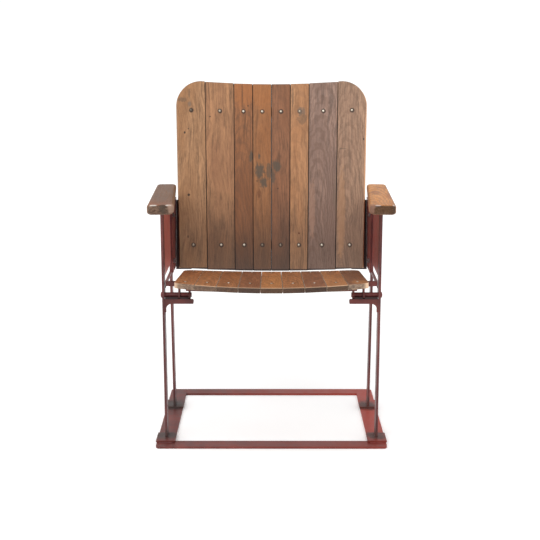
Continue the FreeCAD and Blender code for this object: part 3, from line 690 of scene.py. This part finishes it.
# Seat: nine boards with a rounded front edge and dark end grain, darkest on the middle boards
seatBoards = {
    "nodes": [f"seat_slat_{number}" for number in range(1, 10)], "meets": [],
    "ease": 0.0006, "frontEase": 0.0034, "underEase": 0, "seed": 40.0,
    "bodies": [(175, 116, 74), (169, 111, 71), (163, 107, 68), (148, 97, 67), (171, 112, 71),
               (165, 109, 70), (143, 94, 67), (169, 113, 74), (139, 94, 68)],
    "drifts": [(152, 92, 55), (180, 120, 72), (150, 92, 56), (126, 79, 54), (184, 125, 73),
               (173, 114, 70), (124, 78, 55), (178, 121, 75), (118, 78, 56)],
    "footShadeAges": [0.1] * 9,
    "figures": [0.25, 0.35, 0.4, 0.3, 0.25, 0.45, 0.15, 0.2, 0.25],
    "endTones": [1.3, 0.95, 0.62, 0.46, 0.42, 0.42, 0.45, 0.6, 1.5],
    # The seat's pale seam colour is painted light on the walls of the gaps
    "dark": 0.8, "pale": 1.14, "ageAndShade": (120, 80, 56), "seamGrimeAndLight": (186, 174, 160), "under": (122, 113, 104),
    "line": (96, 60, 38), "worn": (190, 148, 112), "endDark": (58, 49, 43), "endPale": (104, 88, 74),
    "hem": (186, 150, 118), "brow": (234, 196, 160),
    # Painted highlight on each seat board's front lip, strongest on the right
    "browShows": [0.45, 0.45, 0.35, 0.35, 0.45, 0.4, 0.4, 0.6, 0.95],
    "outers": [(146, 118, 94), (136, 108, 86)], "loose": False,
}
# Template for rubbed wear and dirt marks, and for pale marks that are painted highlights
wearAndHighlight = {"ragged": 1.0, "colour": rgb(212, 180, 152), "show": 0.75, "dent": 0.0}
# The pale marks on the front lips of slats 9 and 8 are painted highlights; the others are rubbed wear and
# dirt
seatMarks = [(9, 0.4, -0.97, 30, 6, dyed(wearAndHighlight, 232, 204, 180, 0.9)),
             (9, 0.2, -0.7, 24, 42, dyed(wearAndHighlight, 178, 120, 74, 0.55, ragged=1.2)),
             (8, 0.4, -0.985, 24, 3, dict(wearAndHighlight, show=0.5)),
             (5, 0.0, -0.98, 22, 4, dyed(wearAndHighlight, 196, 132, 80, 0.5)),
             (1, -0.5, -0.97, 22, 5, dyed(wearAndHighlight, 190, 140, 96, 0.5)),
             (6, 0.3, 0.35, 9, 3, dyed(wearAndHighlight, 84, 52, 34, 0.6, ragged=2.0)),
             (5, 0.1, 0.3, 20, 3, dyed(wearAndHighlight, 100, 62, 42, 0.6, ragged=2.0))]
dressBoards(seatBoards, "seat", "seat_wood", heads["seat_rivets"], seatMarks, gloss=0.38, lipShow=0.12)

# Arms: the left board grey with handling, the right one still golden
armBoards = {
    "nodes": ["armrest_left", "armrest_right"], "meets": [],
    "ease": 0.0066, "frontEase": 0, "underEase": 0.0115, "seed": 80.0,
    "bodies": [(110, 79, 57), (208, 145, 85)], "drifts": [(104, 72, 51), (170, 108, 62)],
    "footShadeAges": [0.85, 0.2], "figures": [0.15, 0.36], "endTones": [0.9, 0.5],
    "dark": 0.84, "pale": 1.1, "ageAndShade": (136, 80, 50), "seamGrimeAndLight": (104, 82, 68), "under": (104, 82, 68),
    "line": (120, 78, 50), "worn": (178, 140, 112), "endDark": (66, 56, 48), "endPale": (128, 106, 90),
    "hem": (150, 96, 62), "brow": (178, 140, 112), "outers": [(126, 98, 78), (136, 100, 78)], "loose": True,
}
deepMark = dict(wearAndHighlight, deep=0.03, onEnds=True)
# The near-white spots on the front top edge of each arm are painted highlights; the other marks are wear and
# dirt
armMarks = [(1, -0.55, -0.98, 11, 3.5, dyed(wearAndHighlight, 236, 228, 218, 0.85)),
            (1, 0.62, -0.98, 10, 4, dyed(wearAndHighlight, 240, 234, 226, 0.9)),
            (1, 0.15, -1.0, 10, 12, dyed(deepMark, 66, 55, 47, 0.75, ragged=1.6)),
            (1, 0.8, -0.97, 11, 14, dyed(deepMark, 168, 136, 118, 0.6)),
            (2, -0.75, -0.97, 9, 14, dyed(deepMark, 142, 106, 90, 0.6)),
            (2, -0.35, -0.985, 9, 3, dyed(wearAndHighlight, 232, 214, 206, 0.8)),
            (2, 0.9, -0.97, 8, 5, dyed(wearAndHighlight, 226, 206, 196, 0.7)),
            (2, -0.3, 0.1, 14, 40, dyed(wearAndHighlight, 140, 88, 56, 0.6, ragged=2.4)),
            (2, 0.75, -0.2, 10, 60, dyed(wearAndHighlight, 146, 90, 56, 0.55, ragged=2.0)),
            (2, 0.5, 0.6, 18, 22, dyed(wearAndHighlight, 148, 94, 62, 0.5, ragged=2.4))]
dressBoards(armBoards, "frame", "arm_wood", (), armMarks, gloss=0.42, shine=0.14, relief=0.0003,
            lipStart=0.84, lipShow=0.4, footStart=-0.2)
print("boards made")

# Flat iron of the frame
redIron = {
    "dark": rgb(80, 42, 40), "body": rgb(101, 51, 47), "pale": rgb(122, 63, 58), "rust": rgb(74, 47, 39),
    "dust": rgb(150, 108, 100), "bare": rgb(72, 54, 50), "soot": rgb(62, 57, 54), "warm": rgb(172, 60, 44),
    "wear": 0.3, "rustShow": 0.5, "dustShow": 0.1, "warmShow": 0.8, "sootShow": 0.8, "bareShow": 0.8,
    "fadeShare": 0.6, "blotchShare": 0.4, "sootEdge": (0.6, 1.2), "relief": 0.0005, "shine": 0.26,
    "rough": (0.0, 1.7), "gloss": 0.36, "glossSpan": 0.28,
}
looks = {
    "redIron": redIron,
    # The side panels are the frame's red paint drawn lighter and pinker, the left more than the right:
    # painted light on their inward faces
    "pinkLitIron": dict(redIron, dark=rgb(172, 91, 83), body=rgb(184, 101, 92), pale=rgb(196, 112, 102)),
    "roseLitIron": dict(redIron, dark=rgb(130, 67, 63), body=rgb(146, 76, 71), pale=rgb(160, 87, 81)),
    "legIron": dict(redIron, dark=rgb(80, 44, 44), body=rgb(97, 54, 53), pale=rgb(114, 65, 62)),
    "darkIron": dict(redIron, dark=rgb(48, 35, 36), body=rgb(60, 44, 44), pale=rgb(72, 52, 51), gloss=0.58,
                     shine=0.2),
    "bracketIron": dict(redIron, dark=rgb(92, 47, 45), body=rgb(110, 55, 51), pale=rgb(126, 65, 60)),
    "pinIron": dict(redIron, dark=rgb(92, 46, 46), body=rgb(116, 58, 56), wear=0.5),
}
ironMaterials = {name: ironMaterial(name, look) for name, look in looks.items()}
legs = ("front_leg_left", "front_leg_right", "rear_leg_left", "rear_leg_right")
lookOf = {"side_panel_left": "pinkLitIron", "side_panel_right": "roseLitIron", "back_bracket_left": "bracketIron",
          "back_bracket_right": "bracketIron", **dict.fromkeys(legs, "legIron")}
slotLooks = {"red_iron": "redIron", "dark_iron": "darkIron"}
# Bars are cut every so many metres along these axes, so that their smudges have points to sit on
flatIron = {"ease": 0.0008, "plateStep": 0.012, "plateAxes": (0, 1), "legStep": 0.02, "legAxes": (2,)}
sootMarks = {"sole": 0.002, "start": 1.5, "reach": 0.036}
floorGlow = {"left": -0.3, "width": 0.6, "fade": 0.02, "frontShare": 0.45, "top": 0.014}
slotOf = {row["node"]: row["material_slot"] for row in frame["record"]["subparts"]}
bodyOf = {node: body for body, nodes in frame["record"]["behaviour"]["bodies"].items() for node in nodes}


def boxOf(node):
    points = pointsOf(cadNodes[node].data)
    return points.min(0), points.max(0)


def soleOf(leg):  # the points of a leg that stand on its foot plate
    points = pointsOf(cadNodes[leg].data)
    return points[points[:, 2] < points[:, 2].min() + sootMarks["sole"]]


def sootAround(points):  # grime that gathers round the feet of the legs
    near = np.zeros(len(points))
    for leg in legs:
        away = np.linalg.norm(points - soleOf(leg).mean(0), axis=1)
        near = np.maximum(near, sootMarks["start"] - away / sootMarks["reach"])
    return np.clip(near, 0, 1)


def warmth(points):  # the floor frame keeps a brighter red towards the right, less on its front bar
    side = np.clip((points[:, 0] - floorGlow["left"]) / floorGlow["width"], 0, 1) ** 2
    front = np.clip((points[:, 1] - boxOf("base_crossbar_front")[1][1]) / floorGlow["fade"], 0, 1)
    share = floorGlow["frontShare"] + (1 - floorGlow["frontShare"]) * front
    return side * share * (points[:, 2] < floorGlow["top"])


def addIron(name, mesh, look, body, nodes=(), steady=False):
    normals = steadyNormals(mesh)
    setAttribute(mesh, "upward", normals[:, 2])
    setAttribute(mesh, "soot", sootAround(pointsOf(mesh)))
    setAttribute(mesh, "warm", warmth(pointsOf(mesh)))
    return addPiece(name, mesh, ironMaterials[look], body, nodes, normals if steady else None)


def splitLong(bm, step, axes):
    for axis in axes:
        low = min(vert.co[axis] for vert in bm.verts)
        high = max(vert.co[axis] for vert in bm.verts)
        count = int((high - low) / step)
        for cut in range(1, count):
            place, aim = Vector((0, 0, 0)), Vector((0, 0, 0))
            place[axis], aim[axis] = low + (high - low) * cut / count, 1.0
            whole = bm.verts[:] + bm.edges[:] + bm.faces[:]
            bmesh.ops.bisect_plane(bm, geom=whole, plane_co=place, plane_no=aim)


armStrip = {"corner": 0.03, "margin": 0.004}


def tuckUnder(bm, board):  # draws the inner edge of an arm's strip in under the board it carries
    points = pointsOf(cadNodes[board].data)
    side = np.sign(points[:, 0].mean())
    inward, along = points[:, 0] * side, points[:, 1]
    front = np.flatnonzero(along < along.min() + armStrip["corner"])
    rear = np.flatnonzero(along > along.max() - armStrip["corner"])
    ends = [near[np.argmin(inward[near])] for near in (front, rear)]
    for vert in bm.verts:
        limit = np.interp(vert.co.y, along[ends], inward[ends]) + armStrip["margin"]
        vert.co.x = side * max(vert.co.x * side, limit)


for node, slot in slotOf.items():
    if slot in slotLooks:
        bm = openNode(node)
        if node.startswith("arm_support"):
            tuckUnder(bm, node.replace("arm_support", "armrest"))
        worked = easeEdges(bm, sharpEdges(bm), flatIron["ease"], 2)
        if node.startswith(("foot_plate", "base_runner")):
            splitLong(bm, flatIron["plateStep"], flatIron["plateAxes"])
        elif node in legs:
            splitLong(bm, flatIron["legStep"], flatIron["legAxes"])
        worked = {face for face in worked if face.is_valid}
        mesh = closeMesh(bm, node, worked)
        look = lookOf.get(node, slotLooks[slot])
        addIron(node + "_iron", mesh, look, bodyOf[node], [node], steady=True)
print("iron made")

# Pivot pins, turned in one piece with a domed head
pinProfile = [(0.72, 0.0), (0.8, 0.012), (0.8125, 0.02), (0.8125, 0.935), (0.93, 0.937), (1.0, 0.945),
              (1.0, 0.957), (0.95, 0.972), (0.8, 0.987), (0.55, 0.996), (0.25, 1.0)]
pinSegments = 40
sides = (("left", -1), ("right", 1))
for side, sign in sides:
    node = "pivot_pin_" + side
    low, high = boxOf(node)
    outward = np.array((float(sign), 0, 0))
    foot = (low + high) / 2 - outward * (high[0] - low[0]) / 2
    spot = {"foot": foot, "outward": outward, "radius": (high[2] - low[2]) / 2, "height": high[0] - low[0]}
    mesh = turnedMesh(node, [spot], pinProfile, pinSegments)
    setAttribute(mesh, "rim", np.zeros(len(mesh.vertices)))
    addIron(node + "_turned", mesh, "pinIron", bodyOf[node], [node])

# Toe bars that join the feet of the ears over each stop, clear of the leg beside them
toeBar = {"height": 0.0052, "depth": 0.0058, "lift": 0.0003, "clear": 0.002, "ease": 0.0007}
for side, sign in sides:
    legLow, legHigh = boxOf("front_leg_" + side)
    earLow, earHigh = boxOf("hinge_ear_inner_" + side)
    foot = boxOf("seat_stop_" + side)[1][2] + toeBar["lift"]
    if sign < 0:
        ends = (legHigh[0] + toeBar["clear"], earHigh[0])
    else:
        ends = (earLow[0], legLow[0] - toeBar["clear"])
    low = (ends[0], earLow[1], foot)
    high = (ends[1], earLow[1] + toeBar["depth"], foot + toeBar["height"])
    bm = bmesh.new()
    bmesh.ops.create_cube(bm, size=1.0)
    for vert in bm.verts:
        vert.co = Vector([high[axis] if vert.co[axis] > 0 else low[axis] for axis in range(3)])
    worked = easeEdges(bm, sharpEdges(bm), toeBar["ease"], 2)
    mesh = closeMesh(bm, "toeBar_" + side, worked)
    addIron("toeBar_" + side, mesh, "darkIron", "seat", steady=True)

# Heads of rivets, bolts and screws
rivetMetal = {"metal": 0.85, "dirty": rgb(96, 84, 72), "dull": rgb(190, 178, 160),
              "bright": rgb(232, 226, 214), "gritScale": 420.0, "gritTone": 0.15, "relief": 0.0002,
              "rough": (0.3, 0.7), "gloss": 0.34, "glossSpan": 0.25}
boltMetal = dict(rivetMetal, metal=0.0, dirty=rgb(46, 33, 33), dull=rgb(64, 44, 43), bright=rgb(92, 60, 57),
                 gloss=0.36)
rivetProfile = [(0.68, 0.0), (0.74, 0.12), (0.72, 0.3), (0.65, 0.58), (0.5, 0.82), (0.29, 0.95), (0.1, 1.0)]
domeProfile = [(0.9, 0.0), (1.0, 0.12), (0.98, 0.3), (0.88, 0.58), (0.68, 0.82), (0.4, 0.95), (0.14, 1.0)]
boltProfile = [(1.0, 0.0), (1.0, 0.14), (0.97, 0.18), (0.8, 0.2), (0.8, 0.5), (0.74, 0.72), (0.55, 0.9),
               (0.3, 0.98), (0.1, 1.0)]
rivetMaterial = metalMaterial("rivetMetal", rivetMetal)
boltMaterial = metalMaterial("boltPaint", boltMetal)
chance = random.Random(11)
# Tones of the back's rivets by slat, lower row then upper row
backTones = [(0.5, 0.1), (0.85, 0.6), (0.9, 0.95), (0.15, 0.9), (0.2, 0.85), (0.75, 0.55), (0.9, 1.0),
             (0.95, 0.8)]
headSet = {"tilt": 0.07, "segments": 20, "backDirt": 0.8, "otherDirt": 0.1}
for node, spots in heads.items():
    for spot in spots:
        spot["tone"] = chance.uniform(0.5, 1.0) if node == "seat_rivets" else chance.uniform(0.4, 0.9)
        spot["rimDirt"] = headSet["backDirt" if node == "back_rivets" else "otherDirt"]
        tilt = [chance.uniform(-headSet["tilt"], headSet["tilt"]) for axis in range(3)]
        spot["outward"] = spot["outward"] + np.array(tilt)
for row, below in enumerate((True, False)):
    level = np.mean([spot["foot"][2] for spot in heads["back_rivets"]])
    ordered = sorted((spot for spot in heads["back_rivets"] if (spot["foot"][2] < level) == below),
                     key=lambda spot: spot["foot"][0])
    for spot, tones in zip(ordered, backTones):
        spot["tone"] = tones[row]
for node, profile, material, slot in (("back_rivets", rivetProfile, rivetMaterial, "rivet"),
                                      ("seat_rivets", rivetProfile, rivetMaterial, "rivet"),
                                      ("bracket_bolts", boltProfile, boltMaterial, "fastener"),
                                      ("arm_screws", domeProfile, boltMaterial, "fastener")):
    mesh = turnedMesh(node, heads[node], profile, headSet["segments"])
    addPiece(node + "_turned", mesh, material, bodyOf[node], [node])
print("heads made")

# Weld beads where flat bars meet
welds = {"radius": 0.0022, "step": 0.0014, "fewest": 4, "sides": 7, "sink": 0.35, "ripple": 0.22, "wave": 2.1,
         "luck": 0.12, "thinEnd": 0.04, "taper": 6}


def beadMesh(name, runs):  # each run is a start, an end and the outward direction of the corner it fills
    points, faces = [], []
    for number, (start, end, outward) in enumerate(runs):
        start, end, outward = Vector(start), Vector(end), Vector(outward).normalized()
        along = (end - start).normalized()
        across = along.cross(outward)
        count = max(welds["fewest"], round((end - start).length / welds["step"]))
        first = len(points)
        luck = random.Random(number)
        for step in range(count + 1):
            share = step / count
            fromEnd = max(welds["thinEnd"], min(share, 1 - share) * welds["taper"])
            taper = math.sin(math.pi * min(1, fromEnd) / 2)
            swell = 1 + welds["ripple"] * math.sin(step * welds["wave"] + number)
            swell += luck.uniform(-welds["luck"], welds["luck"])
            radius = welds["radius"] * taper * swell
            centre = start.lerp(end, share) - outward * welds["sink"] * welds["radius"]
            for side in range(welds["sides"]):
                angle = math.pi * 2 * side / welds["sides"]
                points.append(centre + outward * radius * math.cos(angle) + across * radius * math.sin(angle))
        faces += tubeFaces(first, count + 1, welds["sides"])
    mesh = meshOf(name, points, faces)
    setAttribute(mesh, "rim", np.zeros(len(mesh.vertices)))
    return mesh


# Where the beads start and end, in metres
weldEnds = {"inset": 0.002, "stopLift": 0.003, "tack": 0.009, "tacks": (0.25, 0.55, 0.85),
            "earFront": (0.007, -0.0022), "earRear": (-0.004, -0.0036)}
frameRuns, seatRuns = [], []
for side, sign in sides:
    for end in ("front", "rear"):
        low, high = boxOf(f"{end}_leg_{side}")
        sole = soleOf(f"{end}_leg_{side}")
        front, rear = sole[:, 1].min(), sole[:, 1].max()
        for face, lean in ((low[0], -1), (high[0], 1)):
            frameRuns.append(((face, front, low[2]), (face, rear, low[2]), (lean, 0, 1)))
        plateLow, plateHigh = boxOf(f"foot_plate_{end}_{side}")
        runnerLow, runnerHigh = boxOf("base_runner_" + side)
        left = max(plateLow[0], runnerLow[0]) + weldEnds["inset"]
        right = min(plateHigh[0], runnerHigh[0]) - weldEnds["inset"]
        for face, lean in ((plateLow[1], -1), (plateHigh[1], 1)):
            frameRuns.append(((left, face, plateLow[2]), (right, face, plateLow[2]), (0, lean, 1)))
    railLow, railHigh = boxOf("side_rail_" + side)
    for face in (railLow[1], railHigh[1]):
        inner = railLow[0] if sign > 0 else railHigh[0]
        frameRuns.append(((inner, face, railLow[2]), (inner, face, railHigh[2]), (-sign, 0, 0)))
    stopLow, stopHigh = boxOf("seat_stop_" + side)
    wall = stopHigh[0] if sign > 0 else stopLow[0]
    frameRuns.append(((wall, stopLow[1], stopLow[2] + weldEnds["stopLift"]), (wall, stopLow[1], stopHigh[2]),
                      (-sign, -1, 0)))
    panelLow, panelHigh = boxOf("side_panel_" + side)
    inner = panelLow[0] if sign > 0 else panelHigh[0]
    for face, lean in ((panelLow[1], 1), (panelHigh[1], -1)):
        for share in weldEnds["tacks"]:
            middle = panelLow[2] + share * (panelHigh[2] - panelLow[2])
            below, above = middle - weldEnds["tack"], middle + weldEnds["tack"]
            frameRuns.append(((inner, face, below), (inner, face, above), (-sign, lean, 0)))
    for place in ("outer", "inner"):
        earLow, earHigh = boxOf(f"hinge_ear_{place}_{side}")
        for face, lean in ((earLow[0], -1), (earHigh[0], 1)):
            front = (face, earLow[1] + weldEnds["earFront"][0], earHigh[2] + weldEnds["earFront"][1])
            rear = (face, earHigh[1] + weldEnds["earRear"][0], earHigh[2] + weldEnds["earRear"][1])
            seatRuns.append((front, rear, (lean, 0, -1)))
addIron("frameWelds", beadMesh("frameWelds", frameRuns), "legIron", "frame")
addIron("seatWelds", beadMesh("seatWelds", seatRuns), "legIron", "seat")
print("welds made")

# Floor, light and camera
stage = {"floorSize": 60.0, "floor": rgb(252, 252, 252), "shade": rgb(249, 249, 249), "floorGlow": 0.14,
         "world": 0.9, "backdrop": 1.05, "white": (1.0, 1.0, 1.0, 1.0), "aim": (0, 0, 0.4)}
half = stage["floorSize"] / 2
corners = ((-half, -half, 0), (half, -half, 0), (half, half, 0), (-half, half, 0))
floorMesh = meshOf("floor", corners, [(0, 1, 2, 3)])
floor = addObject("floor", floorMesh)
floorMaterial, floorTree, floorShader = newMaterial("floorPaper", {
    "Specular IOR Level": 0.0, "Roughness": 0.9, "Emission Color": stage["white"],
    "Emission Strength": stage["floorGlow"]})
paper = noise(floorTree, addNode(floorTree, "TexCoord").outputs["Object"], 0.0, scale=3.0)
floorTree.links.new(ramp(floorTree, paper, ((0.3, stage["shade"]), (0.7, stage["floor"]))),
                    floorShader.inputs["Base Color"])
floorMesh.materials.append(floorMaterial)

world = bpy.data.worlds.new("studio")
world.use_nodes = True
backdrop = world.node_tree.nodes["Background"]
backdrop.inputs["Color"].default_value = stage["white"]
sight = addNode(world.node_tree, "LightPath").outputs["Is Camera Ray"]
glow = remap(world.node_tree, sight, 0.0, 1.0, stage["world"], stage["backdrop"])
world.node_tree.links.new(glow, backdrop.inputs["Strength"])
bpy.context.scene.world = world
bpy.context.scene.view_settings.view_transform = "Standard"

lamps = {"sky": {"kind": "SUN", "place": (-0.5, -0.9, 2.2), "size": math.radians(80), "power": 0.7},
         "key": {"kind": "AREA", "place": (-1.5, -2.4, 2.6), "size": 1.8, "power": 26.0}}
for name, lamp in lamps.items():
    light = bpy.data.lights.new(name, lamp["kind"])
    light.energy = lamp["power"]
    if lamp["kind"] == "SUN":
        light.angle = lamp["size"]
    else:
        light.size = lamp["size"]
    holder = addObject(name, light)
    holder.location = lamp["place"]
    aim = Vector(stage["aim"]) - Vector(lamp["place"])
    holder.rotation_euler = aim.to_track_quat("-Z", "Y").to_euler()

photoCamera = {"place": (-0.0004, -2.4567, 1.0222), "pitch": 11.56, "turn": 0.08, "lens": 63.86,
               "sensor": 36.0, "shiftY": -0.06}
cameraData = bpy.data.cameras.new("photoCamera")
cameraData.lens = photoCamera["lens"]
cameraData.sensor_width = photoCamera["sensor"]
cameraData.shift_y = photoCamera["shiftY"]
camera = addObject("photoCamera", cameraData)
camera.location = photoCamera["place"]
camera.rotation_euler = (math.radians(90 - photoCamera["pitch"]), 0, math.radians(photoCamera["turn"]))
bpy.context.scene.camera = camera
print("stage made")
